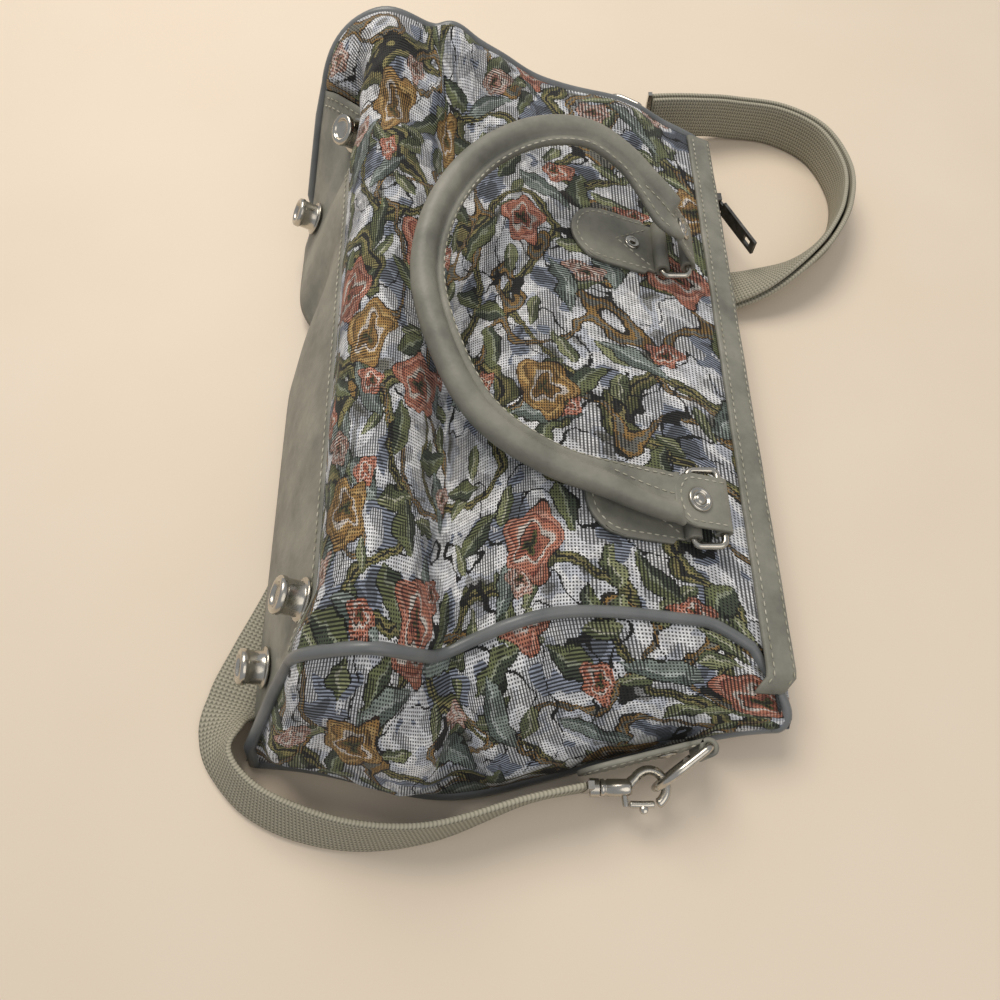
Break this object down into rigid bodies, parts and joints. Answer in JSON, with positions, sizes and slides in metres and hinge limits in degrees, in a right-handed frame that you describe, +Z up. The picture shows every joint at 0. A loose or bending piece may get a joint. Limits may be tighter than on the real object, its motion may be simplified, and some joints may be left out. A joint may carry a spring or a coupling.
{
  "type": "tapestry satchel",
  "caption": "Zipped tapestry satchel lying slumped on its back, with leather base on metal feet, rolled handles on rings, piped ends and a clip-on webbing shoulder strap.",
  "frame": {"origin": "under the middle of the bag's box, without the strap and its hooks, on the table", "axes": "+X from base to zip, +Y along the length away from the viewer, +Z up out of the front panel"},
  "size_m": [0.3326, 0.4158, 0.1065],
  "materials": {
    "tapestry": "woven",
    "leather": "grained",
    "piping": "satin",
    "board": "matt",
    "zip_tape": "woven",
    "webbing": "ribbed",
    "nickel": "polished"
  },
  "bodies": {
    "bag": {"front_panel": "tapestry", "back_panel": "tapestry", "near_gusset": "tapestry", "far_gusset": "tapestry", "base_panel": "leather", "base_board": "board", "base_feet": "nickel", "near_piping": "piping", "far_piping": "piping", "front_binding": "leather", "back_binding": "leather", "front_zip_tape": "zip_tape", "back_zip_tape": "zip_tape", "front_teeth": "nickel", "back_teeth": "nickel", "front_tabs": "leather", "front_tab_rivets": "nickel", "back_tabs": "leather", "back_tab_rivets": "nickel", "near_side_tab": "leather", "far_side_tab": "leather", "side_tab_rivets": "nickel", "near_hook_eye": "nickel", "far_hook_eye": "nickel", "strap_long": "webbing", "strap_outer": "webbing", "strap_inner": "webbing", "strap_slide": "nickel"},
    "zip_slider": {"zip_slider": "nickel"},
    "zip_pull": {"zip_pull": "nickel"},
    "front_rings": {"front_rings": "nickel"},
    "front_handle": {"front_handle": "leather", "front_handle_rivets": "nickel"},
    "back_rings": {"back_rings": "nickel"},
    "back_handle": {"back_handle": "leather", "back_handle_rivets": "nickel"},
    "near_d_ring": {"near_d_ring": "nickel"},
    "far_d_ring": {"far_d_ring": "nickel"},
    "near_hook": {"near_hook": "nickel"},
    "near_gate": {"near_gate": "nickel"},
    "far_hook": {"far_hook": "nickel"},
    "far_gate": {"far_gate": "nickel"}
  },
  "joints": [
    {"name": "front_ring_lift", "type": "hinge", "parent": "bag", "child": "front_rings", "pos_m": [0.06811, 0, 0.04669], "axis": [0, 1, 0], "range_deg": [-26.5, 0]},
    {"name": "front_handle_swing", "type": "hinge", "parent": "front_rings", "child": "front_handle", "pos_m": [0.0811, 0, 0.04647], "axis": [0, 1, 0], "range_deg": [0, 130]},
    {"name": "back_ring_lift", "type": "hinge", "parent": "bag", "child": "back_rings", "pos_m": [0.06392, 0, 0.0111], "axis": [0, -1, 0], "range_deg": [-26.5, 0]},
    {"name": "back_handle_swing", "type": "hinge", "parent": "back_rings", "child": "back_handle", "pos_m": [0.07614, 0, 0.00665], "axis": [0, -1, 0], "range_deg": [0, 130]},
    {"name": "zip_run", "type": "slide", "parent": "bag", "child": "zip_slider", "axis": [0, 1, 0], "range_m": [-0.258, 0]},
    {"name": "zip_pull_swing", "type": "hinge", "parent": "zip_slider", "child": "zip_pull", "pos_m": [0.11062, 0.11935, 0.022], "axis": [0, 0, 1], "range_deg": [-12, 140]},
    {"name": "near_d_ring_swing", "type": "hinge", "parent": "bag", "child": "near_d_ring", "pos_m": [0.06992, -0.17605, 0.0185], "axis": [0, 0, 1], "range_deg": [-5, 1.5]},
    {"name": "far_d_ring_swing", "type": "hinge", "parent": "bag", "child": "far_d_ring", "pos_m": [0.06992, 0.17815, 0.024], "axis": [0, 0, 1], "range_deg": [-5, 1.5]},
    {"name": "near_hook_swivel", "type": "hinge", "parent": "bag", "child": "near_hook", "pos_m": [0.04764, -0.19002, 0.0151], "axis": [1, 0, 0], "range_deg": [-10, 10]},
    {"name": "near_gate_press", "type": "hinge", "parent": "near_hook", "child": "near_gate", "pos_m": [0.04044, -0.19622, 0.0151], "axis": [0, 0, 1], "range_deg": [0, 14], "stiffness_Nm_per_rad": 0.02, "springref_deg": -5.73},
    {"name": "far_hook_swivel", "type": "hinge", "parent": "bag", "child": "far_hook", "pos_m": [0.05194, 0.19212, 0.02], "axis": [1, 0, 0], "range_deg": [-10, 10]},
    {"name": "far_gate_press", "type": "hinge", "parent": "far_hook", "child": "far_gate", "pos_m": [0.05914, 0.19832, 0.02], "axis": [0, 0, 1], "range_deg": [0, 14], "stiffness_Nm_per_rad": 0.02, "springref_deg": -5.73}
  ],
  "couplings": [
    {"joint": "front_ring_lift", "follows": "front_handle_swing", "ratio": -0.2},
    {"joint": "back_ring_lift", "follows": "back_handle_swing", "ratio": -0.2}
  ]
}
